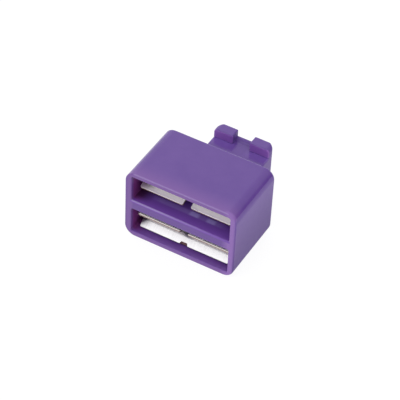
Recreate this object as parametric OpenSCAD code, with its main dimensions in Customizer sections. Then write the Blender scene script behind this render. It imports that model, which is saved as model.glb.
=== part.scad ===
// Double blade connector: a moulded block with two wide slots, one above the other.
// Each slot holds a sprung clip of plated sheet that grips a flat blade pushed in from the front.
// +X is across the slots, +Y runs from the open front to the back, +Z is up.
// The origin is at the middle of the underside of the whole part.

/* [Body] */
// Width of the body across the slots
body_w = 25; // [24:0.1:30]
// Depth of the body from its open front to its back wall
body_d = 15.65; // [15:0.05:18]
// Radius of the four long edges of the body
corner_r = 2.4; // [1.5:0.1:3]
// Thickness of the side walls
side_wall = 1.4; // [1:0.1:1.8]
// Thickness of the floor and of the top wall
floor_t = 1.1; // [0.8:0.1:1.4]
// Thickness of the wall between the two slots
divider_t = 2.4; // [2:0.1:3]
// Height of each slot
slot_h = 6.1; // [6:0.05:7]
// Thickness of the back wall
back_wall = 1.4; // [1.2:0.1:1.8]

/* [Rear sleeve] */
// Width of the sleeve behind the body
sleeve_w = 12.95; // [12:0.05:16]
// Offset of the sleeve to the right of the body's middle
sleeve_shift = 0.15; // [0:0.05:0.5]
// How far the sleeve stands out behind the body
sleeve_len = 11.35; // [10:0.05:16]
// Height of the sleeve's flat top above the underside
sleeve_top = 10.35; // [10.3:0.05:10.8]
// Wall thickness of the sleeve
sleeve_wall = 1.1; // [0.8:0.1:1.4]
// Radius of the sleeve's two rear corners, seen from above
sleeve_r = 1.3; // [1:0.1:2.4]

/* [Hooks] */
// Width of each hook on the sleeve
hook_w = 4.5; // [3.5:0.1:5]
// Front to back size of each hook
hook_d = 2.5; // [1.8:0.1:3]
// Height of the hooks above the sleeve
hook_h = 2.2; // [1:0.05:3]
// Radius of each hook's outer top edge
hook_r = 1; // [0.5:0.1:1.8]
// Height of the low rib between the hooks
rib_h = 0.5; // [0.2:0.1:0.8]

/* [Clips] */
// Thickness of the clip sheet
sheet_t = 0.6; // [0.4:0.05:0.7]
// Opening between the two lips at their front edges, sheet middle to middle
mouth = 3.4; // [3:0.05:3.6]
// Gap between the two contact ridges with no blade in
nip_gap = 0.4; // [0.2:0.05:0.6]
// Slope of the finger lips
finger_lip = 23; // [20:1:30]
// Slope of the notched plate's lip
plate_lip = 40; // [30:1:45]
// Radius of the contact ridges at the middle of the sheet
nip_r = 0.9; // [0.7:0.1:1.2]
// Distance of the arm roots from the blade plane, sheet middle
root_v = 1.15; // [1:0.05:1.3]
// Height of the lower clip's blade plane above the underside
clip_z = 3.3; // [3.2:0.05:3.4]
// Depth of the lower clip's lip edges behind the front face
lip_y = 1.65; // [1.5:0.05:2]
// How much deeper the upper clip sits
upper_back = 0.42; // [0:0.02:0.5]
// How far the lower clip sits to the right in its side play
lower_shift = 0.2; // [0:0.05:0.35]
// How far the upper clip sits to the right in its side play
upper_shift = 0.38; // [0:0.02:0.4]
// Half width of the fingered side of a clip
finger_half = 10.65; // [9:0.05:10.65]
// Half width of the notched side of a clip
plate_half = 10.3; // [9:0.05:10.65]
// Width of the slit between two fingers, and of the notch at the front edge
slit_w = 1.75; // [1:0.05:3]
// Width of the notch at its inner end
notch_in = 1.3; // [0.8:0.05:2]
// Depth of the notch
notch_d = 0.8; // [0.5:0.1:1.5]
// Distance from the lip edges back to the roots where the arms flex
arm_len = 10.2; // [9.6:0.1:10.3]

/* [Tabs] */
// Width of the rear tab of each clip
tab_w = 6.3; // [4:0.1:8]
// Distance between the two tabs, sheet middle to middle
tab_pitch = 5.08; // [4.9:0.01:5.2]
// How far the tabs stop inside the sleeve's open end
tab_in = 0.9; // [0.3:0.1:3]

/* [Hidden] */
$fn = 48;
eps = 0.02;
arc_steps = 8;
root_gap = 0.03;
body_h = 2 * floor_t + 2 * slot_h + divider_t;
total_d = body_d + sleeve_len;
front_y = -total_d / 2;
slot_w = body_w - 2 * side_wall;
slot_back = body_d - back_wall;
lower_slot_z = floor_t;
upper_slot_z = floor_t + slot_h + divider_t;
well_z0 = floor_t + 0.1;
well_z1 = sleeve_top - sleeve_wall + 0.15;
well_w = sleeve_w - 2 * sleeve_wall;
upper_clip_z = body_h - clip_z;
upper_tab_z = clip_z + tab_pitch;
tab_play = 0.12;
channel_d = 1.3;
// The clip's own frame: u runs back from the lip edges, v is the distance from the blade plane.
v_lip = mouth / 2;
v_nip = nip_gap / 2 + sheet_t / 2;
v_arc = v_nip + nip_r;
bight_r = 0.7;
bight_u = slot_back - lip_y - upper_back - sheet_t / 2 - 0.1;
barb_len = 0.9;
tip_r = 0.35;

// Plan outline of the sleeve, square at the body and rounded at the two rear corners.
module sleeve_plan(y0, y1, inset) {
    w = sleeve_w / 2 - inset;
    r = sleeve_r - inset;
    translate([sleeve_shift, front_y]) {
        translate([-w, y0]) square([2 * w, y1 - y0 - r]);
        translate([-w + r, y0]) square([2 * w - 2 * r, y1 - y0]);
        for (side = [-1, 1])
            translate([side * (w - r), y1 - r]) circle(r = r);
    }
}

// Outline of the body seen from the front, with the corner radius on all four edges.
module body_outline() {
    w = body_w / 2;
    translate([-w, corner_r]) square([body_w, body_h - 2 * corner_r]);
    translate([-w + corner_r, 0]) square([body_w - 2 * corner_r, body_h]);
    for (side = [-1, 1], z = [corner_r, body_h - corner_r])
        translate([side * (w - corner_r), z]) circle(r = corner_r);
}

// Stands a front-view outline up and runs it back from depth y0 to depth y1.
module run_back(y0, y1) {
    translate([0, front_y + y1, 0]) rotate([90, 0, 0]) linear_extrude(y1 - y0) children();
}

// One hook outline seen from the front: square inside, rounded at its outer top edge.
module hook_outline(side) {
    outer = sleeve_shift + side * sleeve_w / 2;
    inner = outer - side * hook_w;
    low = sleeve_top - 0.5;
    high = sleeve_top + hook_h;
    translate([min(outer, inner), low]) square([hook_w, high - low - hook_r]);
    translate([min(outer - side * hook_r, inner), low]) square([hook_w - hook_r, high - low]);
    translate([outer - side * hook_r, high - hook_r]) circle(r = hook_r);
}

module hooks() {
    intersection() {
        for (side = [-1, 1])
            run_back(total_d - hook_d, total_d) hook_outline(side);
        linear_extrude(body_h) sleeve_plan(body_d, total_d, 0);
    }
}

module slot_space(z) {
    run_back(-1, slot_back) translate([-slot_w / 2, z]) square([slot_w, slot_h]);
}

// A flat passage for one tab through the back wall, from depth y0 to the well.
module tab_passage(shift, z, y0) {
    w = tab_w + 2 * tab_play;
    h = sheet_t + 2 * tab_play;
    translate([shift - w / 2, front_y + y0 - eps, z - h / 2])
        cube([w, body_d + 1 - y0, h]);
}

module housing() {
    color([0.45, 0.36, 0.61])
    difference() {
        union() {
            run_back(0, body_d) body_outline();
            linear_extrude(sleeve_top) sleeve_plan(body_d - eps, total_d, 0);
            translate([sleeve_shift - hook_w / 2, front_y + total_d - hook_d / 2, sleeve_top - eps])
                cube([hook_w, hook_d / 2, rib_h + eps]);
            hooks();
        }
        slot_space(lower_slot_z);
        slot_space(upper_slot_z);
        // The well round the tabs, from the back wall to the sleeve's open rear end
        translate([sleeve_shift - well_w / 2, front_y + body_d, well_z0])
            cube([well_w, sleeve_len + 1, well_z1 - well_z0]);
        tab_passage(lower_shift, clip_z, slot_back);
        tab_passage(upper_shift, upper_tab_z, slot_back - channel_d);
        // The channel that lets the upper tab down behind the divider
        translate([upper_shift - tab_w / 2 - tab_play, front_y + slot_back - channel_d, upper_tab_z])
            cube([tab_w + 2 * tab_play, channel_d, upper_slot_z + 1 - upper_tab_z]);
    }
}

// Depth of the contact ridge behind the lip edge, for a lip that slopes by lip degrees.
function ridge_u(lip) = (v_lip - v_arc + nip_r * cos(lip)) / tan(lip) + nip_r * sin(lip);

// Angle at which an arm runs from its ridge to its root.
function arm_angle(lip) = atan((root_v - v_nip) / (arm_len - ridge_u(lip)));

// Points of the sheet's middle line from the lip edge, round the ridge, to the root.
function leaf_line(lip) = concat(
    [[0, v_lip]],
    [for (i = [0:arc_steps]) let (a = -lip + (lip + arm_angle(lip)) * i / arc_steps)
        [ridge_u(lip) + nip_r * sin(a), v_arc - nip_r * cos(a)]],
    [[arm_len - root_gap, root_v]]);

// Direction of the middle line at point i, the mean of the two pieces that meet there.
function heading(p, i) = let (a = p[max(i - 1, 0)], b = p[min(i + 1, len(p) - 1)], d = b - a) d / norm(d);

// Outline of a sheet of thickness sheet_t along the points p.
function sheet_outline(p) = concat(
    [for (i = [0:len(p) - 1]) let (h = heading(p, i)) p[i] + [-h[1], h[0]] * sheet_t / 2],
    [for (i = [len(p) - 1:-1:0]) let (h = heading(p, i)) p[i] - [-h[1], h[0]] * sheet_t / 2]);

function clip_shift(upper) = upper ? upper_shift : lower_shift;

// Places a clip part: turn is -1 when its free side hangs below the blade plane, 1 above.
module in_clip(upper, turn) {
    back = upper ? upper_back : 0;
    z = upper ? upper_clip_z : clip_z;
    translate([clip_shift(upper), front_y + lip_y + back, z])
        if (turn < 0) mirror([0, 0, 1]) children();
        else children();
}

// Runs a side-view outline across the clip from x0 to x1.
module run_across(x0, x1) {
    translate([x0, 0, 0]) rotate([90, 0, 90]) linear_extrude(x1 - x0) children();
}

// Plan of a leaf with its two front corners rounded, as a tall block that trims the sheet.
module leaf_plan(x0, x1) {
    translate([0, 0, -1]) linear_extrude(5) {
        translate([x0, tip_r]) square([x1 - x0, arm_len]);
        translate([x0 + tip_r, 0]) square([x1 - x0 - 2 * tip_r, arm_len]);
        for (x = [x0 + tip_r, x1 - tip_r])
            translate([x, tip_r]) circle(r = tip_r);
    }
}

module leaf(x0, x1, lip) {
    intersection() {
        run_across(x0, x1) polygon(sheet_outline(leaf_line(lip)));
        translate([0, -sheet_t / 2 * sin(lip), 0]) leaf_plan(x0, x1);
    }
}

module notch() {
    translate([0, 0, -1]) linear_extrude(5)
        polygon([[-slit_w / 2, -1], [slit_w / 2, -1], [slit_w / 2, 0],
            [notch_in / 2, notch_d], [-notch_in / 2, notch_d], [-slit_w / 2, 0]]);
}

module clip_plate(upper) {
    color([0.83, 0.82, 0.81])
    in_clip(upper, upper ? 1 : -1)
        difference() {
            leaf(-plate_half, plate_half, plate_lip);
            notch();
        }
}

module clip_finger(upper, side) {
    inner = side * slit_w / 2;
    outer = side * finger_half;
    color([0.74, 0.72, 0.70])
    in_clip(upper, upper ? -1 : 1) leaf(min(inner, outer), max(inner, outer), finger_lip);
}

// Middle line of the bight that joins both sides at the back of a clip.
function bight_line() = concat(
    [[arm_len, root_v]],
    [for (i = [0:arc_steps]) let (a = 90 - 90 * i / arc_steps)
        [bight_u - bight_r + bight_r * cos(a), root_v - bight_r + bight_r * sin(a)]],
    [for (i = [0:arc_steps]) let (a = -90 * i / arc_steps)
        [bight_u - bight_r + bight_r * cos(a), -root_v + bight_r + bight_r * sin(a)]],
    [[arm_len, -root_v]]);

// Middle line of a tab: down the back of the bight by drop, then straight out to the rear.
function tab_line(drop) = drop == 0
    ? [[bight_u, 0], [total_d - tab_in - lip_y, 0]]
    : concat([[bight_u, 0]],
        [for (i = [0:arc_steps]) let (a = 180 + 90 * i / arc_steps)
            [bight_u + bight_r + bight_r * cos(a), -drop + bight_r + bight_r * sin(a)]],
        [[total_d - tab_in - lip_y - upper_back, -drop]]);

module clip_base(upper) {
    drop = upper ? upper_clip_z - upper_tab_z : 0;
    color([0.80, 0.78, 0.76])
    in_clip(upper, 1)
        union() {
            run_across(-finger_half, finger_half) polygon(sheet_outline(bight_line()));
            // The ends of the bight are wider and wedge between the side walls
            translate([-slot_w / 2 - clip_shift(upper), bight_u - sheet_t / 2, -barb_len / 2])
                cube([slot_w, sheet_t, barb_len]);
            run_across(-tab_w / 2, tab_w / 2) polygon(sheet_outline(tab_line(drop)));
        }
}

module lower_clip_base() { clip_base(false); }
module lower_clip_plate() { clip_plate(false); }
module lower_clip_finger_left() { clip_finger(false, -1); }
module lower_clip_finger_right() { clip_finger(false, 1); }
module upper_clip_base() { clip_base(true); }
module upper_clip_plate() { clip_plate(true); }
module upper_clip_finger_left() { clip_finger(true, -1); }
module upper_clip_finger_right() { clip_finger(true, 1); }

housing();
lower_clip_base();
lower_clip_plate();
lower_clip_finger_left();
lower_clip_finger_right();
upper_clip_base();
upper_clip_plate();
upper_clip_finger_left();
upper_clip_finger_right();
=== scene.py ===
import math
import bpy
import bmesh
import numpy as np
from mathutils import Matrix, Vector


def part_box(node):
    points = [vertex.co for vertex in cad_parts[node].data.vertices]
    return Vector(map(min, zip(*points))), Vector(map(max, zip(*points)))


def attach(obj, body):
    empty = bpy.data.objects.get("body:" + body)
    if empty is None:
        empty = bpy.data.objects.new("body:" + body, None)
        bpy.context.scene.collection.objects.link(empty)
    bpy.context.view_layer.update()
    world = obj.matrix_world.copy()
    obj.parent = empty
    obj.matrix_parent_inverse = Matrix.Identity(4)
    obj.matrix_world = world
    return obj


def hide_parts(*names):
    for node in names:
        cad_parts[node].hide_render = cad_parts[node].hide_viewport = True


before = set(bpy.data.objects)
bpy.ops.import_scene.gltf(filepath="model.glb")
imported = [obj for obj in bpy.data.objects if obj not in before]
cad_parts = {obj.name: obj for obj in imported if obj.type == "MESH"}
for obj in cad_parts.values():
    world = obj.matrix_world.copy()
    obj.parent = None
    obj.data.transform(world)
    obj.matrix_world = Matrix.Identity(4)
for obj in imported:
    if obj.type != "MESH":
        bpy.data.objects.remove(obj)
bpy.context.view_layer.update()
mm = 0.001
print("frame loaded:", len(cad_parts), "nodes")

scene = bpy.context.scene
scene.view_settings.view_transform = "Standard"
scene.view_settings.look = "None"


def corners(node):
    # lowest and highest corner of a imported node, in millimetres
    lo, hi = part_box(node)
    return np.array(lo) / mm, np.array(hi) / mm


housingLo, housingHi = corners("housing")
frontY = housingLo[1]
rearY = housingHi[1]
topZ = housingHi[2]


def roundedOutline(left, right, low, high, radius, steps):
    # a rectangle with four quarter-circle corners, for every station at once:
    # point = arc centre + radius * (cos t, sin t), with t over one quarter for each corner
    left, right, low, high, radius = np.broadcast_arrays(*np.atleast_1d(left, right, low, high, radius))
    quarter = np.linspace(0, math.pi / 2, steps + 1)
    turn = (np.arange(4)[:, None] * math.pi / 2 + quarter[None, :]).ravel()
    onRight = np.repeat([True, False, False, True], steps + 1)
    onTop = np.repeat([True, True, False, False], steps + 1)
    centreA = np.where(onRight, (right - radius)[:, None], (left + radius)[:, None])
    centreB = np.where(onTop, (high - radius)[:, None], (low + radius)[:, None])
    a = centreA + radius[:, None] * np.cos(turn)
    b = centreB + radius[:, None] * np.sin(turn)
    return np.stack([a, b], axis=-1)


def cornerOutline(left, right, low, high, radii, steps):
    # the same with four corners of their own: high right, high left, low left, low right.
    # each is a quarter ellipse with one radius across and one along
    left, right, low, high = np.broadcast_arrays(*np.atleast_1d(left, right, low, high))
    quarter = np.linspace(0, math.pi / 2, steps + 1)
    turn = (np.arange(4)[:, None] * math.pi / 2 + quarter[None, :]).ravel()
    pairs = [np.stack(np.broadcast_arrays(*pair), axis=-1) for pair in radii]
    pairs = [np.broadcast_to(pair, (len(left), 2)) for pair in pairs]
    r = np.repeat(np.stack(pairs, axis=1), steps + 1, axis=1)
    onRight = np.repeat([True, False, False, True], steps + 1)
    onTop = np.repeat([True, True, False, False], steps + 1)
    ra, rb = r[..., 0], r[..., 1]
    a = np.where(onRight, right[:, None] - ra, left[:, None] + ra) + ra * np.cos(turn)
    b = np.where(onTop, high[:, None] - rb, low[:, None] + rb) + rb * np.sin(turn)
    return np.stack([a, b], axis=-1)


def edgeStations(start, end, startRadius, endRadius, steps):
    # stations along an axis and how far the outline draws in at each:
    # a quarter circle at both ends, draw-in = r - r sin t at r - r cos t from the end
    t = np.linspace(0, math.pi / 2, steps + 1)
    back = t[::-1]
    places = [start + startRadius * (1 - np.cos(t)), end - endRadius * (1 - np.cos(back))]
    inset = [startRadius * (1 - np.sin(t)), endRadius * (1 - np.sin(back))]
    return np.concatenate(places), np.concatenate(inset)


def shell(name, rings):
    # a closed skin from a grid of rings: quads between neighbours, one flat face at each end
    rings = np.asarray(rings, float)
    count, around = rings.shape[:2]
    here = np.arange(count - 1)[:, None] * around + np.arange(around)[None, :]
    nextRound = np.arange(count - 1)[:, None] * around + (np.arange(around)[None, :] + 1) % around
    quads = np.stack([here, nextRound, nextRound + around, here + around], axis=-1).reshape(-1, 4)
    faces = quads.tolist()
    faces.append(list(range(around))[::-1])
    faces.append(list(range((count - 1) * around, count * around)))
    mesh = bpy.data.meshes.new(name)
    mesh.from_pydata((rings.reshape(-1, 3) * mm).tolist(), [], faces)
    obj = bpy.data.objects.new(name, mesh)
    scene.collection.objects.link(obj)
    cleanUp(mesh)
    return obj


def cleanUp(mesh):
    # merges doubled points and turns every face outwards
    work = bmesh.new()
    work.from_mesh(mesh)
    bmesh.ops.remove_doubles(work, verts=work.verts, dist=2e-7)
    bmesh.ops.dissolve_degenerate(work, edges=work.edges, dist=1e-7)
    bmesh.ops.recalc_face_normals(work, faces=work.faces)
    openEdges = sum(1 for edge in work.edges if not edge.is_manifold)
    work.to_mesh(mesh)
    work.free()
    if openEdges:
        print("open edges in", mesh.name, openEdges)


def ringsAlongY(outline, places):
    # outlines in x and z, set at the given depths
    y = np.broadcast_to(places[:, None], outline.shape[:2])
    return np.stack([outline[..., 0], y, outline[..., 1]], axis=-1)


def ringsAlongZ(outline, places):
    # outlines in x and y, set at the given heights
    z = np.broadcast_to(places[:, None], outline.shape[:2])
    return np.stack([outline[..., 0], outline[..., 1], z], axis=-1)


def combine(base, tools, operation):
    # joins or cuts solids and leaves one finished mesh on the base
    for tool in tools:
        step = base.modifiers.new(operation.lower(), "BOOLEAN")
        step.operation = operation
        step.solver = "EXACT"
        step.object = tool
    made = bpy.data.meshes.new_from_object(base.evaluated_get(bpy.context.evaluated_depsgraph_get()))
    base.modifiers.clear()
    old = base.data
    base.data = made
    made.name = base.name
    bpy.data.meshes.remove(old)
    for tool in tools:
        bpy.data.meshes.remove(tool.data)
    cleanUp(made)
    return base


def smoothFaces(obj, degrees):
    # smooth shading that stops at edges sharper than the angle, with flats kept flat
    obj.data.shade_smooth()
    obj.data.set_sharp_from_angle(angle=math.radians(degrees))
    flat = obj.modifiers.new("flats", "WEIGHTED_NORMAL")
    flat.keep_sharp = True
    flat.weight = 60


class Value:
    # one socket of a node tree: an expression on values adds its Math nodes
    def __init__(self, nodes, socket):
        self.nodes = nodes
        self.socket = socket

    def maths(self, operation, *others):
        return self.nodes.add("ShaderNodeMath", {"operation": operation}, dict(enumerate((self,) + others)))

    def __add__(self, other):
        return self.maths("ADD", other)

    __radd__ = __add__

    def __sub__(self, other):
        return self.maths("SUBTRACT", other)

    def __rsub__(self, other):
        return (self * -1) + other

    def __mul__(self, other):
        return self.maths("MULTIPLY", other)

    __rmul__ = __mul__

    def __pow__(self, other):
        return self.maths("POWER", other)

    def clamp(self):
        return self.maths("MAXIMUM", 0).maths("MINIMUM", 1)

    def above(self, level, steep):
        # 0 up to the level, then climbing to 1
        return ((self - level) * steep).clamp()

    def below(self, level, steep):
        # 0 from the level on, climbing to 1 under it
        return ((level - self) * steep).clamp()

    def awayFrom(self, middle):
        return (self - middle).maths("ABSOLUTE")

    def near(self, middle, reach, steep):
        # 1 around the middle, falling to 0 at the reach
        return self.awayFrom(middle).below(reach, steep)


class Nodes:
    # a node tree and the one way to add a node to it
    def __init__(self, tree):
        self.tree = tree

    def add(self, kind, settings=None, inputs=None, output=0):
        node = self.tree.nodes.new(kind)
        for key, value in (settings or {}).items():
            setattr(node, key, value)
        for key, value in (inputs or {}).items():
            self.plug(node.inputs[key], value)
        return Value(self, node.outputs[output])

    def plug(self, socket, value):
        if isinstance(value, Value):
            self.tree.links.new(value.socket, socket)
        else:
            socket.default_value = value

    def split(self, place):
        # the three numbers of a vector
        x = self.add("ShaderNodeSeparateXYZ", None, {0: place})
        return [Value(self, socket) for socket in x.socket.node.outputs]

    def noise(self, place, scale, detail=2, rough=0.5):
        return self.add("ShaderNodeTexNoise", None,
                        {"Vector": place, "Scale": scale, "Detail": detail, "Roughness": rough})

    def mix(self, factor, first, second):
        return self.add("ShaderNodeMix", {"data_type": "RGBA"}, {0: factor, 6: first, 7: second}, 2)

    def stretch(self, place, scale):
        return self.add("ShaderNodeVectorMath", {"operation": "MULTIPLY"}, {0: place, 1: scale})

    def bump(self, height, strength, distance):
        return self.add("ShaderNodeBump", None,
                        {"Height": height, "Strength": strength, "Distance": distance})


class Finish(Nodes):
    # a material
    def __init__(self, name):
        self.material = bpy.data.materials.new(name)
        self.material.use_nodes = True
        super().__init__(self.material.node_tree)
        self.shader = self.tree.nodes["Principled BSDF"]

    def set(self, **values):
        for name, value in values.items():
            self.plug(self.shader.inputs[name.replace("_", " ")], value)


# sizes of the housing in millimetres
body = dict(depth=15.65, corner=2.38, edge=0.25, wall=1.4, floor=1.1, divider=2.4, slot=6.1, back=1.4)
sleeve = dict(width=12.95, shift=0.15, top=10.35, wall=1.1, corner=1.3, edge=0.2, long=0.4, lift=0.04,
              overlap=0.8)
hook = dict(leftInner=-1.85, rightInner=2.08, depth=2.5, top=12.55, round=1.0, edge=0.3, inner=0.2,
            front=0.4, sunk=0.5, ribTop=10.85, ribDepth=1.6, ribClimb=1.1, ribEdge=0.2)
slotRim = dict(rim=0.28, corner=0.35, foot=0.3, tall=1.6)
well = dict(low=1.2, high=9.4, rim=0.25, corner=0.45)
leastRadius = 0.12
bodyBackY = frontY + body["depth"]
slotHalf = (housingHi[0] - housingLo[0]) / 2 - body["wall"]
slotFloor = body["floor"] + body["slot"] + body["divider"]  # of the upper slot
sleeveLeft = sleeve["shift"] - sleeve["width"] / 2
sleeveRight = sleeve["shift"] + sleeve["width"] / 2

# sizes of the clips and their tabs, in millimetres and, for the two lips, degrees
tab = dict(width=6.3, pitch=5.08, play=0.12, channel=1.3, inside=0.9, corner=0.08)
clip = dict(thick=0.6, mouth=3.4, gap=0.4, ridge=0.9, plane=3.3, lipY=1.65, upperBack=0.42,
            lowerShift=0.2, upperShift=0.38, fingerHalf=10.65, plateLeft=10.05, plateHalf=10.3, slit=1.75,
            notchIn=1.3, notchDeep=0.25, notchShift=0.12, arm=10.2, rootV=1.15, rootGap=0.03,
            fingerLip=23, plateLip=40, edge=0.07, tip=0.35, bight=0.7, barb=0.9, barbCorner=0.15,
            backPlay=0.1)

# colours of the violet plastic, by place; all but the first two are painted light and shade
violet = dict(
    deep=(0.110, 0.048, 0.272, 1),  # the moulding as a whole, in two close tones
    light=(0.134, 0.063, 0.300, 1),
    rim=(0.182, 0.083, 0.325, 1),  # painted glow of light through the thin walls at the open front
    right=(0.250, 0.125, 0.425, 1),  # painted light on the front's right upright
    side=(0.134, 0.062, 0.315, 1),  # painted light high on the side faces
    low=(0.098, 0.045, 0.235, 1),  # painted shade low on the side faces
    inside=(0.172, 0.067, 0.390, 1),  # painted light on the slot floors
    sheen=(0.360, 0.270, 0.680, 1),  # painted reflection of the clip in the upper floor
    corner=(0.225, 0.037, 0.215, 1),  # painted shade beside the slots' left wall, redder
    # painted shade: deep by the slots' left wall, on the upper floor's left, and under the lower slot's rim
    dark=(0.035, 0.008, 0.032, 1),
    edge=(0.420, 0.330, 0.620, 1),  # painted highlights on rounded edges
    # painted light on the hooks' fronts
    hook=(0.275, 0.115, 0.465, 1),
    foot=(0.185, 0.096, 0.400, 1),  # painted light on the sleeve's top in front of the hooks
)


def mouldingPlace(f):
    # where a point of the moulding lies, in millimetres, and how far it is from two middle lines
    place = f.stretch(f.add("ShaderNodeTexCoord", output=3), (1000, 1000, 1000))
    across, rearwards, height = f.split(place)
    fromMiddle = across.awayFrom((housingHi[0] + housingLo[0]) / 2)
    fromSleeve = across.awayFrom(sleeve["shift"])
    return dict(place=place, across=across, depth=rearwards - frontY, height=height,
                fromMiddle=fromMiddle, fromSleeve=fromSleeve)


# where the painted glow at the front, the painted light on the right upright and the painted light and
# shade on the sides lie
frontGlow = dict(reach=4.5, steep=1 / 4.2, power=1.5, dividerHalf=1.5, spared=0.75)
uprightPaintedLight = dict(start=9.5, wide=1.5, deep=1.0)
sidePaintedLightShade = dict(inFrom=0.9, highFrom=3, highOver=10, lowFrom=14, lowOver=11)


def paintOutside(f, at, colour):
    # painted light and shade: thin walls let light through, so the open front is painted paler, the right
    # upright is painted lighter, and the sides are painted lighter high up and darker downwards
    across, depth, height, fromMiddle = (at[key] for key in ("across", "depth", "height", "fromMiddle"))
    onDivider = height.near(topZ / 2, frontGlow["dividerHalf"], 3) * fromMiddle.below(slotHalf, 2)
    glow = depth.below(frontGlow["reach"], frontGlow["steep"]) ** frontGlow["power"]
    colour = f.mix(glow * (1 - onDivider * frontGlow["spared"]), colour, violet["rim"])
    upright = across.above(uprightPaintedLight["start"], 1 / uprightPaintedLight["wide"])
    colour = f.mix(upright * depth.below(uprightPaintedLight["deep"], 2), colour, violet["right"])
    onSide = fromMiddle.above(slotHalf + sidePaintedLightShade["inFrom"], 2.5)
    high = height.above(sidePaintedLightShade["highFrom"], 1 / sidePaintedLightShade["highOver"])
    low = height.below(sidePaintedLightShade["lowFrom"], 1 / sidePaintedLightShade["lowOver"])
    colour = f.mix(onSide * high, colour, violet["side"])
    colour = f.mix(onSide * low, colour, violet["low"])
    return colour, onSide


# where the painted light on the slot floors, the painted reflection and the painted shade by the left walls
# lie
floorPaintedLight = dict(over=0.12, under=0.5, lowOver=0.15, lowShare=0.5)
mirrorBand = dict(depth=3.1, half=0.8, middle=0.5, wide=8.5, share=0.3, patchShare=0.7,
                  patches=((1.7, 1.3), (5.5, 1.2)))
wallPaintedShade = dict(reach=2.2, share=0.85, start=0.4, climb=0.8, darkStart=1.2, darkClimb=3.5, darkShare=0.5)
floorShade = dict(side=-7.3, wide=2.5, start=0.6, climb=1.5, share=0.75)


def paintSlots(f, at, colour):
    # painted light and shade in the slots: floors painted lighter and bluer, with a painted reflection of
    # the clip in the upper one; the left walls painted redder and darker, and painted shade on the upper
    # floor's left
    across, depth, height, fromMiddle = (at[key] for key in ("across", "depth", "height", "fromMiddle"))
    within = fromMiddle.below(slotHalf + 0.3, 9)
    within = within * height.near(topZ / 2, topZ / 2 - body["floor"] + 0.2, 9)
    within = within * depth.below(body["depth"] - body["back"] + 0.6, 9)
    onFloor = height.below(slotFloor + floorPaintedLight["over"], 12)
    onFloor = onFloor * height.above(slotFloor - floorPaintedLight["under"], 12)
    onLowFloor = height.below(body["floor"] + floorPaintedLight["lowOver"], 12)
    colour = f.mix(within * onFloor, colour, violet["inside"])
    colour = f.mix(within * onLowFloor * floorPaintedLight["lowShare"], colour, violet["inside"])
    band = depth.near(mirrorBand["depth"], mirrorBand["half"], 2.5)
    band = band * across.near(mirrorBand["middle"], mirrorBand["wide"], 0.5)
    first, second = (across.near(middle, reach, 1.6) for middle, reach in mirrorBand["patches"])
    sheen = band * ((first + second) * mirrorBand["patchShare"] + mirrorBand["share"])
    colour = f.mix(within * onFloor * sheen, colour, violet["sheen"])
    nearWall = across.below(wallPaintedShade["reach"] - slotHalf, 0.5)
    nearWall = within * nearWall * depth.above(wallPaintedShade["start"], 1 / wallPaintedShade["climb"])
    colour = f.mix(nearWall * wallPaintedShade["share"], colour, violet["corner"])
    deeper = depth.above(wallPaintedShade["darkStart"], 1 / wallPaintedShade["darkClimb"]) * wallPaintedShade["darkShare"]
    colour = f.mix(nearWall * deeper, colour, violet["dark"])
    shade = onFloor * across.below(floorShade["side"], 1 / floorShade["wide"])
    shade = shade * depth.above(floorShade["start"], 1 / floorShade["climb"]) * floorShade["share"]
    return f.mix(within * shade, colour, violet["dark"])


# where the painted edge highlights and the painted shade line under the lower rim lie
edgePaintedLightShade = dict(inset=0.16, topHalf=0.11, topShare=0.3, floorHalf=0.13, floorShare=0.5, fadeFrom=9,
                fadeOver=14, underUp=0.2, underHalf=0.3, underStart=0.12)


def paintEdges(f, at, colour):
    # painted highlights on the rounded front edges of the top and of the upper floor, where depth equals
    # # the drop below the edge, and a painted shade line under the lower slot's upper rim
    across, depth, height, fromMiddle = (at[key] for key in ("across", "depth", "height", "fromMiddle"))
    wide = fromMiddle.below(slotHalf + 0.2, 2)
    nearFront = depth.below(1, 3)
    bevel = depth - height
    topLine = bevel.near(edgePaintedLightShade["inset"] - topZ, edgePaintedLightShade["topHalf"], 12)
    floorLine = bevel.near(edgePaintedLightShade["inset"] - slotFloor, edgePaintedLightShade["floorHalf"], 12)
    floorLine = floorLine * across.below(edgePaintedLightShade["fadeFrom"], 1 / edgePaintedLightShade["fadeOver"]) * nearFront
    lines = wide * topLine * edgePaintedLightShade["topShare"] + wide * floorLine * edgePaintedLightShade["floorShare"]
    colour = f.mix(lines, colour, violet["edge"])
    rimHeight = body["floor"] + body["slot"]
    underLine = height.near(rimHeight + edgePaintedLightShade["underUp"], edgePaintedLightShade["underHalf"], 8)
    underLine = underLine * wide * depth.above(edgePaintedLightShade["underStart"], 12) * nearFront
    return f.mix(underLine, colour, violet["dark"]), underLine


# where the painted light on the hook fronts and on the sleeve's top before them lies
rearPaintedLight = dict(footHalf=0.3, footLong=2.2, footFrom=1.2, footOver=1.5, hookBefore=0.3, hookAfter=0.4)


def paintRear(f, at, colour):
    # painted light: the fronts of the hooks and the sleeve's top before them are painted paler
    depth, height, fromSleeve = (at[key] for key in ("depth", "height", "fromSleeve"))
    hookFront = rearY - frontY - hook["depth"]
    onFoot = height.near(sleeve["top"], rearPaintedLight["footHalf"], 9)
    onFoot = onFoot * depth.above(hookFront - rearPaintedLight["footLong"], 0.5) * depth.below(hookFront + 0.2, 9)
    onFoot = onFoot * fromSleeve.above(rearPaintedLight["footFrom"], 1 / rearPaintedLight["footOver"])
    onHook = height.above(sleeve["top"] + 0.05, 5) * height.below(hook["top"] - 0.1, 9)
    onHook = onHook * depth.above(hookFront - rearPaintedLight["hookBefore"], 9)
    onHook = onHook * depth.below(hookFront + rearPaintedLight["hookAfter"], 4)
    return f.mix(onHook, f.mix(onFoot, colour, violet["foot"]), violet["hook"])


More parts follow.
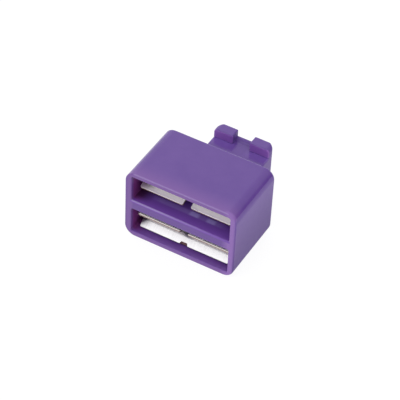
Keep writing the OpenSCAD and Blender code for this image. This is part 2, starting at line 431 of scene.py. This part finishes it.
gloss = dict(rough=0.14, wave=0.07, skin=0.05, side=0.36, sideLoss=0.009, underLine=0.5, flank=0.25,
             hookSide=0.35)


def dullness(at, onSide, underLine):
    # how much rougher the plastic is on its sides, on the sleeve's flanks and on the hooks
    depth, height, fromSleeve = (at[key] for key in ("depth", "height", "fromSleeve"))
    behind = depth.above(body["depth"] + 0.1, 9)
    flank = fromSleeve.above(sleeve["width"] / 2 - 0.35, 4) * gloss["flank"]
    hookSide = height.above(sleeve["top"] + 0.15, 5) * height.below(hook["top"] - 0.12, 9)
    hookSide = hookSide * gloss["hookSide"]
    dull = onSide * (gloss["side"] - height * gloss["sideLoss"]) + underLine * gloss["underLine"]
    return dull + behind * flank.maths("MAXIMUM", hookSide)


def violetPlastic():
    # glossy moulded plastic: faint flow clouds, a fine skin, small changes of gloss, and painted light
    # # and shade: the glow of light passing through the walls, painted highlights, a painted reflection and
    # painted shade
    f = Finish("violetPlastic")
    at = mouldingPlace(f)
    clouds = f.noise(at["place"], 0.22, 3, 0.55)
    skin = f.noise(at["place"], 9, 2, 0.6)
    wave = f.noise(at["place"], 0.9, 2, 0.5)
    colour = f.mix((clouds * 1.5 - 0.25).clamp(), violet["deep"], violet["light"])
    colour, onSide = paintOutside(f, at, colour)
    colour = paintSlots(f, at, colour)
    colour, underLine = paintEdges(f, at, colour)
    colour = paintRear(f, at, colour)
    rough = wave * gloss["wave"] + skin * gloss["skin"] + gloss["rough"]
    rough = rough + dullness(at, onSide, underLine)
    f.set(Base_Color=colour, Roughness=rough, IOR=1.45)
    f.set(Normal=f.bump(skin * 0.35 + wave, 0.25, 0.00002))
    return f.material


# plating of the clips: a darker and a bright tone (on the lip the darker one is painted shade), how fast
# # painted shade darkens the strip along its length, and how much faster at its left end, by the wall
plating = dict(
    arm=dict(dull=(0.58, 0.53, 0.53, 1), bright=(0.92, 0.87, 0.88, 1), shadeRate=0.0, leftShadeRate=0.02),
    lip=dict(dull=(0.05, 0.035, 0.055, 1), bright=(0.70, 0.69, 0.705, 1), shadeRate=0.10, leftShadeRate=0.12),
)
# where the painted shade starts and where its left end begins, and how much the rolling lines and haze vary
# the tone
platingLevel = dict(start=1.03, leftEnd=-7.3, lines=0.5, haze=0.2)
# sheared edges: how much copper shows, the tone of the plating drawn over them, and a painted shadow line
# along the upper side
shearing = dict(
    plain=dict(bare=0.28, drawn=(0.34, 0.23, 0.23, 1), shadowLine=0),
    lowFinger=dict(bare=-0.06, drawn=(0.80, 0.75, 0.73, 1), shadowLine=1),
)
copper = (0.29, 0.17, 0.14, 1)
# colour of the painted shadow line on the cut edges
edgeShadowColour = (0.05, 0.035, 0.05, 1)


def sheetPlace(f):
    # the sheet's own coordinates in millimetres: across, along the strip, through its thickness
    return f.add("ShaderNodeAttribute", {"attribute_name": "sheetPlace"}, output=1)


def platedSheet(name, look):
    # matt tin plating with fine rolling lines along the strip, and painted shade that darkens it away from
    # the lip and towards its left end
    f = Finish(name)
    place = sheetPlace(f)
    lines = f.noise(f.stretch(place, (4.5, 0.25, 1)), 1, 3, 0.65)
    haze = f.noise(f.stretch(place, (0.8, 0.8, 0.8)), 1, 3, 0.5)
    across, along, _ = f.split(place)
    # painted shade: darker along the strip, and faster past the left end
    toLeft = (platingLevel["leftEnd"] - across).maths("MAXIMUM", 0)
    shadeRate = toLeft * toLeft * look["leftShadeRate"] + look["shadeRate"]
    level = platingLevel["start"] - along * shadeRate
    level = level + (lines - 0.5) * platingLevel["lines"] + (haze - 0.5) * platingLevel["haze"]
    f.set(Base_Color=f.mix(level.clamp(), look["dull"], look["bright"]))
    f.set(Metallic=0.8, Roughness=lines * 0.16 + haze * 0.08 + 0.26)
    f.set(Normal=f.bump(lines, 0.35, 0.00002))
    return f.material


def cutSheet(name, look):
    # the sheared edge: bright where the plating was drawn over it, bare copper below, and on the lower
    # fingers a painted shadow line along its upper side
    f = Finish(name)
    place = sheetPlace(f)
    through = f.split(place)[2]
    ragged = f.noise(f.stretch(place, (5, 1, 1)), 1, 2, 0.6)
    bare = ((ragged * 0.25 - through - 0.1 + look["bare"]) * 9).clamp()
    colour = f.mix(bare, look["drawn"], copper)
    # painted shadow line along the upper side of the edge
    f.set(Base_Color=f.mix(through.above(0.08, 14) * look["shadowLine"], colour, edgeShadowColour))
    f.set(Metallic=0.75, Roughness=ragged * 0.12 + 0.34)
    f.set(Normal=f.bump(ragged, 0.3, 0.00002))
    return f.material


plastic = violetPlastic()
plated = platedSheet("platedSheet", plating["arm"])
platedLip = platedSheet("platedLip", plating["lip"])
cutEdge = cutSheet("cutSheet", shearing["plain"])
cutEdgeLow = cutSheet("cutSheetLow", shearing["lowFinger"])
print("finishes made")


def bodyShell():
    # the outer block: a rounded rectangle drawn along the depth, rounded over at front and back
    places, inset = edgeStations(frontY, bodyBackY, body["edge"], body["edge"], 5)
    outline = roundedOutline(housingLo[0] + inset, housingHi[0] - inset, inset, topZ - inset,
                             body["corner"] - inset, 14)
    return shell("housing_block", ringsAlongY(outline, places))


def sleeveShell():
    # the rear sleeve: its plan outline drawn upwards, rounded over on a small radius at the rear
    # and on a larger one along the two long top edges
    top, longEdge, edge = sleeve["top"], sleeve["long"], sleeve["edge"]
    t = np.linspace(0, math.pi / 2, 9)
    foot = edge * (1 - np.cos(t))
    places = np.concatenate([sleeve["lift"] + foot, top - longEdge * (1 - np.sin(t))])
    side = np.concatenate([edge * (1 - np.sin(t)), longEdge * (1 - np.cos(t))])
    over = np.clip(places - (top - edge), 0, edge)
    footIn = np.concatenate([edge * (1 - np.sin(t)), 0 * t])
    rear = np.maximum(edge - np.sqrt(edge ** 2 - over ** 2), footIn)
    corner = (np.clip(sleeve["corner"] - side, leastRadius, None), sleeve["corner"] - rear)
    small = (edge + 0 * side, edge + 0 * side)
    inBody = bodyBackY - sleeve["overlap"]
    outline = cornerOutline(sleeveLeft + side, sleeveRight - side, inBody + rear, rearY - rear,
                            [corner, corner, small, small], 10)
    return shell("sleeve_block", ringsAlongZ(outline, places))


def hookShell(side):
    # one hook: plan outline drawn upwards; the outer side draws in on the large radius,
    # the other three sides only on the small edge radius
    high = hook["top"]
    t = np.linspace(0, math.pi / 2, 13)
    places = high - hook["round"] + hook["round"] * np.sin(t)
    big = hook["round"] * (1 - np.cos(t))
    over = np.clip(places - (high - hook["edge"]), 0, hook["edge"])
    small = hook["edge"] - np.sqrt(hook["edge"] ** 2 - over ** 2)
    places = np.concatenate([[sleeve["top"] - hook["sunk"]], places])
    big = np.concatenate([[0], big])
    small = np.concatenate([[0], small])
    outer = (np.clip(sleeve["corner"] - big, leastRadius, None), sleeve["corner"] - small)
    front = (np.clip(hook["front"] - big, leastRadius, None), hook["front"] - small)
    fine = (hook["inner"] + 0 * small, hook["inner"] + 0 * small)
    low, back = rearY - hook["depth"] + small, rearY - small
    if side > 0:
        outline = cornerOutline(hook["rightInner"] + small, sleeveRight - big, low, back,
                                [outer, fine, fine, front], 8)
    else:
        outline = cornerOutline(sleeveLeft + big, hook["leftInner"] - small, low, back,
                                [fine, outer, front, fine], 8)
    return shell("hook_block", ringsAlongZ(outline, places))


def ribShell():
    # the low step between the hooks: a side outline that climbs to a flat top with a rounded
    # rear edge, drawn across; the climb is a smooth 3p^2 - 2p^3 curve
    a = np.linspace(0, math.pi / 2, 9)
    low = sleeve["top"] - hook["sunk"]
    start = rearY - hook["ribDepth"]
    foot = sleeve["top"] - 0.02  # just below the sleeve's top, so that the two join cleanly
    top = hook["ribTop"]
    edge = hook["ribEdge"]
    up = np.linspace(0, 1, 9)
    climbY = start + up * hook["ribClimb"]
    climbZ = foot + (top - foot) * (3 * up ** 2 - 2 * up ** 3)
    roundY = rearY - edge + edge * np.sin(a)
    roundZ = top - edge + edge * np.cos(a)
    y = np.concatenate([[start], climbY, roundY, [rearY]])
    z = np.concatenate([[low], climbZ, roundZ, [low]])
    x = np.array([hook["leftInner"] - hook["sunk"], hook["rightInner"] + hook["sunk"]])
    rings = np.stack(np.broadcast_arrays(x[:, None], y, z), axis=-1)
    return shell("rib_block", rings)


def slotCutter(low, high, tall):
    # one slot: a rounded rectangle drawn from its blind end to the front. It draws in on a quarter
    # circle at the blind end and flares on one at the rim; the upper rim flares tall times as much
    rim, foot = slotRim["rim"], slotRim["foot"]
    t = np.linspace(0, math.pi / 2, 6)
    blind = bodyBackY - body["back"]
    start = blind - foot * (1 - np.cos(t))
    flare = frontY + rim * (1 - np.sin(t))
    places = np.concatenate([start, flare, [frontY - 1]])
    grow = np.concatenate([-foot * (1 - np.sin(t)), rim * (1 - np.cos(t)), [rim]])
    corner = np.clip(slotRim["corner"] + grow, 0.03, None)
    outline = roundedOutline(-slotHalf - grow, slotHalf + grow, low - grow, high + grow * tall, corner, 5)
    return shell("slot_cut", ringsAlongY(outline, places))


def wellCutter():
    # the open well in the sleeve: a rounded rectangle drawn rearwards, flared on a quarter circle
    rim = well["rim"]
    t = np.linspace(0, math.pi / 2, 6)
    left, right = sleeveLeft + sleeve["wall"], sleeveRight - sleeve["wall"]
    places = np.concatenate([[bodyBackY], rearY - rim + rim * np.sin(t), [rearY + 1]])
    grow = np.concatenate([[0], rim * (1 - np.cos(t)), [rim]])
    outline = roundedOutline(left - grow, right + grow, well["low"] - grow, well["high"] + grow,
                             well["corner"] + grow, 5)
    return shell("well_cut", ringsAlongY(outline, places))


def boxCutter(left, right, front, back, low, high):
    # a plain passage: one rounded rectangle drawn from front to back
    outline = roundedOutline(np.full(2, left), right, low, high, tab["corner"], 3)
    return shell("passage_cut", ringsAlongY(outline, np.array([front, back])))


def makeHousing():
    # the moulding: block, sleeve, hooks and rib joined, then slots, well and tab passages cut out
    base = combine(bodyShell(), [sleeveShell(), hookShell(-1), hookShell(1), ribShell()], "UNION")
    blind = bodyBackY - body["back"]
    through = bodyBackY + 0.3  # a little past the face, so that each cut is clean
    wide = tab["width"] / 2 + tab["play"]
    tall = clip["thick"] / 2 + tab["play"]
    lowerTab, upperTab = clip["plane"], clip["plane"] + tab["pitch"]
    left, right = clip["lowerShift"] - wide, clip["lowerShift"] + wide
    leftUp, rightUp = clip["upperShift"] - wide, clip["upperShift"] + wide
    channel = blind - tab["channel"]  # the upper tab drops behind the bight through this channel
    cutters = [
        slotCutter(body["floor"], body["floor"] + body["slot"], slotRim["tall"]),
        slotCutter(slotFloor, slotFloor + body["slot"], 1),
        wellCutter(),
        boxCutter(left, right, blind - 0.3, through, lowerTab - tall, lowerTab + tall),
        boxCutter(leftUp, rightUp, channel, through, upperTab - tall, upperTab + tall),
        boxCutter(leftUp, rightUp, channel, blind - 0.02, upperTab, slotFloor + 0.6),
    ]
    base = combine(base, cutters, "DIFFERENCE")
    base.name = "housing_moulding"
    base.data.name = base.name
    base.data.materials.append(plastic)
    smoothFaces(base, 32)
    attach(base, "block")
    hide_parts("housing")
    return base


housing = makeHousing()
print("housing made:", len(housing.data.polygons), "faces")


def ridgeU(lip):
    # how far the contact ridge lies behind the lip edge
    r = clip["ridge"]
    arc = clip["gap"] / 2 + clip["thick"] / 2 + r
    return (clip["mouth"] / 2 - arc + r * math.cos(lip)) / math.tan(lip) + r * math.sin(lip)


def leafLine(lipDegrees):
    # middle line of a leaf in its own frame (back, out): straight lip, arc over the ridge, straight arm
    lip = math.radians(lipDegrees)
    nip = clip["gap"] / 2 + clip["thick"] / 2
    u = ridgeU(lip)
    arm = math.atan((clip["rootV"] - nip) / (clip["arm"] - u))
    turn = np.linspace(-lip, arm, 17)
    arc = np.stack([u + clip["ridge"] * np.sin(turn), nip + clip["ridge"] * (1 - np.cos(turn))], axis=-1)
    end = np.array([clip["arm"] - clip["rootGap"], clip["rootV"]])
    return denser(np.concatenate([[[0, clip["mouth"] / 2]], arc, [end]]), 0.45)


def denser(points, step):
    # the same line with its long straight stretches divided
    out = [points[:1]]
    for first, last in zip(points[:-1], points[1:]):
        count = max(1, int(np.ceil(np.linalg.norm(last - first) / step)))
        share = np.linspace(0, 1, count + 1)[1:, None]
        out.append(first + (last - first) * share)
    return np.concatenate(out)


def alongLine(line):
    # distance along the line and the unit normal at each point
    gaps = np.linalg.norm(np.diff(line, axis=0), axis=1)
    along = np.concatenate([[0], np.cumsum(gaps)])
    heading = np.gradient(line, along, axis=0)
    heading /= np.linalg.norm(heading, axis=1)[:, None]
    return along, np.stack([-heading[:, 1], heading[:, 0]], axis=-1)


def resample(along, values, stations):
    # a line's points or normals, read off at other distances along it
    return np.stack([np.interp(stations, along, values[:, k]) for k in (0, 1)], axis=-1)


def endStations(along, radii):
    # stations along the sheet, packed close where its ends are rounded
    length = along[-1]
    t = 1 - np.cos(np.linspace(0, math.pi / 2, 7))
    extra = [r * t for r in radii] + [length - r * t for r in radii]
    every = np.unique(np.round(np.concatenate([along] + extra), 5))
    return every[(every >= 0) & (every <= length)]


def quarterInset(distance, radius):
    # how far a quarter circle of that radius draws in, at a distance from its end
    d = np.clip(distance, 0, radius)
    return radius - np.sqrt(np.clip(radius ** 2 - (radius - d) ** 2, 0, None))


def sheetShell(name, line, left, right, place, frontTip, backTip):
    # a strip of sheet: a thin rounded rectangle carried along the middle line; near each end it
    # narrows on the tip radius and thins on the small edge radius
    along, normals = alongLine(line)
    length = along[-1]
    s = endStations(along, [clip["edge"], max(frontTip, 0.1), max(backTip, 0.1)])
    points = resample(along, line, s)
    normal = resample(along, normals, s)
    thin = quarterInset(s, clip["edge"]) + quarterInset(length - s, clip["edge"])
    tips = np.maximum(quarterInset(s, frontTip) + quarterInset(length - s, backTip), thin)
    half = clip["thick"] / 2 - thin
    radius = np.clip(clip["edge"] - thin, 0.004, None)
    outline = roundedOutline(np.full(len(s), left) + tips, right - tips, -half, half, radius, 3)
    u = points[:, None, 0] + normal[:, None, 0] * outline[..., 1]
    v = points[:, None, 1] + normal[:, None, 1] * outline[..., 1]
    x = outline[..., 0] + place["x"]
    return shell(name, np.stack([x, u + place["y"], place["turn"] * v + place["z"]], axis=-1))


def markSheet(obj, line, place, finishes):
    # writes the sheet's own coordinates on every point, from the nearest spot of the middle line,
    # and gives the flat faces the first finish and the sheared edges the second
    mesh = obj.data
    count = len(mesh.vertices)
    at = np.empty(count * 3, np.float32)
    mesh.vertices.foreach_get("co", at)
    at = at.reshape(-1, 3) / mm
    uv = np.stack([at[:, 1] - place["y"], place["turn"] * (at[:, 2] - place["z"])], axis=-1)
    first, last = line[:-1], line[1:]
    step = last - first
    size = np.linalg.norm(step, axis=1)
    share = np.clip(((uv[:, None] - first) * step).sum(-1) / size ** 2, 0, 1)
    foot = first + share[..., None] * step
    away = uv[:, None] - foot
    pick = np.linalg.norm(away, axis=-1).argmin(axis=1)
    row = np.arange(count)
    side = step[pick, 0] * away[row, pick, 1] - step[pick, 1] * away[row, pick, 0]
    across = side / size[pick]
    along = np.concatenate([[0], np.cumsum(size)])[pick] + share[row, pick] * size[pick]
    data = np.stack([at[:, 0] - place["x"], along, across * place["turn"]], axis=-1).astype(np.float32)
    mark = mesh.attributes.new("sheetPlace", "FLOAT_VECTOR", "POINT")
    mark.data.foreach_set("vector", data.ravel())
    mesh.materials.clear()
    for finish in finishes:
        mesh.materials.append(finish)
    through = data[:, 2]
    loops = np.empty(len(mesh.loops), np.int32)
    mesh.loops.foreach_get("vertex_index", loops)
    starts = np.empty(len(mesh.polygons), np.int32)
    mesh.polygons.foreach_get("loop_start", starts)
    high = np.maximum.reduceat(through[loops], starts)
    low = np.minimum.reduceat(through[loops], starts)
    flatFace = np.minimum(abs(high), abs(low)) > clip["thick"] / 2 - clip["edge"] * 0.9
    sameSide = high * low > 0
    mesh.polygons.foreach_set("material_index", np.where(flatFace & sameSide, 0, 1).astype(np.int32))


def clipPlace(upper, turn):
    # where a clip's own frame sits, in millimetres
    return dict(x=clip["upperShift"] if upper else clip["lowerShift"],
                y=frontY + clip["lipY"] + (clip["upperBack"] if upper else 0),
                z=topZ - clip["plane"] if upper else clip["plane"], turn=turn)


def notchCutter(place):
    # the tapered notch: a plan outline drawn upwards through the lip
    a, b, d = clip["slit"] / 2, clip["notchIn"] / 2, clip["notchDeep"]
    outline = np.array([[-a, -1.5], [a, -1.5], [a, -0.1], [b, d], [-b, d], [-a, -0.1]])  # x and y
    z = np.array([place["z"] - 4, place["z"] + 4])
    rings = np.empty((2, len(outline), 3))
    rings[..., 0] = outline[:, 0] + place["x"] + clip["notchShift"]
    rings[..., 1] = outline[:, 1] + place["y"]
    rings[..., 2] = z[:, None]
    return shell("notch_cut", rings)


def finishSheet(obj, name, rides, node, line, place, finishes):
    # names a sheet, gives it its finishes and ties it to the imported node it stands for
    obj.name = name
    obj.data.name = name
    markSheet(obj, line, place, finishes)
    smoothFaces(obj, 35)
    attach(obj, rides)
    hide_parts(node)


def makePlate(level):
    # the wide notched side of a clip
    upper = level == "upper"
    place = clipPlace(upper, 1 if upper else -1)
    line = leafLine(clip["plateLip"])
    obj = sheetShell("plate", line, -clip["plateLeft"], clip["plateHalf"], place, clip["tip"], 0)
    combine(obj, [notchCutter(place)], "DIFFERENCE")
    name = level + "_plate"
    finishSheet(obj, name, name, level + "_clip_plate", line, place,
                (platedLip, cutEdge))


def makeFinger(level, side):
    # one of the two narrow arms on the slit side of a clip
    upper = level == "upper"
    place = clipPlace(upper, -1 if upper else 1)
    line = leafLine(clip["fingerLip"])
    inner, outer = clip["slit"] / 2, clip["fingerHalf"]
    left, right = (inner, outer) if side == "right" else (-outer, -inner)
    obj = sheetShell("finger", line, left, right, place, clip["tip"], 0)
    name = level + "_finger_" + side
    finishSheet(obj, name, name, level + "_clip_finger_" + side, line, place,
                (plated, cutEdge if upper else cutEdgeLow))


def bightLine(backU):
    # middle line round the back of a clip, from one arm root to the other
    r, v, u = clip["bight"], clip["rootV"], clip["arm"]
    t = np.linspace(0, math.pi / 2, 9)
    top = np.stack([backU - r + r * np.sin(t), v - r + r * np.cos(t)], axis=-1)
    low = np.stack([backU - r + r * np.cos(t), -v + r - r * np.sin(t)], axis=-1)
    return denser(np.concatenate([[[u, v]], top, low, [[u, -v]]]), 0.3)


def tabLine(backU, drop, endU):
    # middle line of a tab: down behind the bight, round a bend, then straight out
    r = clip["bight"]
    if drop == 0:
        return denser(np.array([[backU - 0.1, 0.0], [endU, 0.0]]), 0.8)
    t = np.linspace(math.pi, 1.5 * math.pi, 13)
    bend = np.stack([backU + r + r * np.cos(t), -drop + r + r * np.sin(t)], axis=-1)
    return denser(np.concatenate([[[backU, 0.4]], bend, [[endU, -drop]]]), 0.8)


def makeBase(level):
    # the bight with its side barbs and the rear tab
    upper = level == "upper"
    place = clipPlace(upper, 1)
    blindU = body["depth"] - body["back"] - clip["lipY"] - clip["upperBack"]
    backU = blindU - clip["thick"] / 2 - clip["backPlay"]
    endU = rearY - tab["inside"] - place["y"]
    drop = (topZ - clip["plane"]) - (clip["plane"] + tab["pitch"]) if upper else 0
    bight = bightLine(backU)
    obj = sheetShell("bight", bight, -clip["fingerHalf"], clip["fingerHalf"], place, 0, 0)
    line = tabLine(backU, drop, endU)
    strip = sheetShell("tab", line, -tab["width"] / 2, tab["width"] / 2, place, 0, 0.5)
    tall = clip["barb"] / 2
    outline = roundedOutline(np.full(2, -slotHalf), slotHalf, place["z"] - tall, place["z"] + tall,
                             clip["barbCorner"], 4)
    flats = np.array([-0.5, 0.5]) * (clip["thick"] - 0.02)  # a hair inside the sheet's own faces
    barb = shell("barb", ringsAlongY(outline, place["y"] + backU + flats))
    combine(obj, [barb, strip], "UNION")
    whole = np.concatenate([bight, line[::-1]])
    finishSheet(obj, level + "_base", "block", level + "_clip_base", whole, place,
                (plated, cutEdge))


for level in ("lower", "upper"):
    makePlate(level)
    makeFinger(level, "left")
    makeFinger(level, "right")
    makeBase(level)
print("clips made")


# a white light tent: an even glow, and lobes with an axis, a sharpness and a strength
tent = dict(even=0.55, least=0.02,
            lobes=[((-0.465, -0.103, 0.879), 1.5, 0.46), ((0.76, 0.64, 0.08), 30, -1.4),
                   ((0.72, 0.05, 0.69), 3, 0.42), ((-0.34, 0.64, 0.69), 8, 0.3),
                   ((-0.34, -0.62, 0.70), 24, 1.8), ((-0.34, 0.93, 0.12), 20, 2.5)])
paleFloor = dict(half=0.6, colour=(0.12, 0.12, 0.12, 1), glow=0.9)
# degrees, then how many body widths away, the lens in millimetres and its shift
view = dict(azimuth=28.0, elevation=43.53, roll=2.92, distance=14.256, focal=160.9,
            shiftX=0.0026, shiftY=0.0046)


def makeFloor():
    # a flat square under the part
    f = Finish("paleFloor")
    f.set(Base_Color=paleFloor["colour"], Roughness=0.9)
    f.set(Emission_Color=(1, 1, 1, 1), Emission_Strength=paleFloor["glow"])
    half = paleFloor["half"]
    square = [(-half, -half, 0), (half, -half, 0), (half, half, 0), (-half, half, 0)]
    mesh = bpy.data.meshes.new("floor")
    mesh.from_pydata(square, [], [(0, 1, 2, 3)])
    mesh.materials.append(f.material)
    floor = bpy.data.objects.new("floor", mesh)
    scene.collection.objects.link(floor)


def makeWorld():
    # each lobe is the cosine of the angle to its axis, raised to the sharpness
    world = bpy.data.worlds.new("lightTent")
    scene.world = world
    world.use_nodes = True
    f = Nodes(world.node_tree)
    back = f.tree.nodes["Background"]
    direction = f.add("ShaderNodeTexCoord")
    total = None
    for axis, sharp, strength in tent["lobes"]:
        facing = f.add("ShaderNodeVectorMath", {"operation": "DOT_PRODUCT"},
                       {0: direction, 1: tuple(Vector(axis).normalized())}, 1)
        lobe = facing.maths("MAXIMUM", 0) ** sharp * strength
        total = lobe if total is None else total + lobe
    total = (total + tent["even"]).maths("MAXIMUM", tent["least"])
    f.plug(back.inputs["Color"], f.add("ShaderNodeCombineColor", None, {0: total, 1: total, 2: total}))
    f.plug(back.inputs["Strength"], 1.0)


def makeCamera():
    # the camera looks at the middle of the main block from the right, in front and above
    azimuth, elevation, roll = (math.radians(view[key]) for key in ("azimuth", "elevation", "roll"))
    level = math.cos(elevation)
    back = Vector((math.sin(azimuth) * level, -math.cos(azimuth) * level, math.sin(elevation)))
    width = (housingHi[0] - housingLo[0]) * mm
    middle = Vector((0, (frontY + body["depth"] / 2) * mm, topZ / 2 * mm))
    camera = bpy.data.cameras.new("camera")
    camera.sensor_width = 36
    camera.lens = view["focal"]
    camera.shift_x, camera.shift_y = view["shiftX"], view["shiftY"]
    camera.clip_start, camera.clip_end = 0.01, 10
    obj = bpy.data.objects.new("camera", camera)
    obj.location = middle + back * view["distance"] * width
    right = (-back).cross(Vector((0, 0, 1))).normalized()
    up = right.cross(-back)
    turnedRight = math.cos(roll) * right + math.sin(roll) * up
    turnedUp = -math.sin(roll) * right + math.cos(roll) * up
    obj.rotation_euler = Matrix((turnedRight, turnedUp, back)).transposed().to_euler()
    scene.collection.objects.link(obj)
    scene.camera = obj


makeFloor()
makeWorld()
makeCamera()
print("stage set")
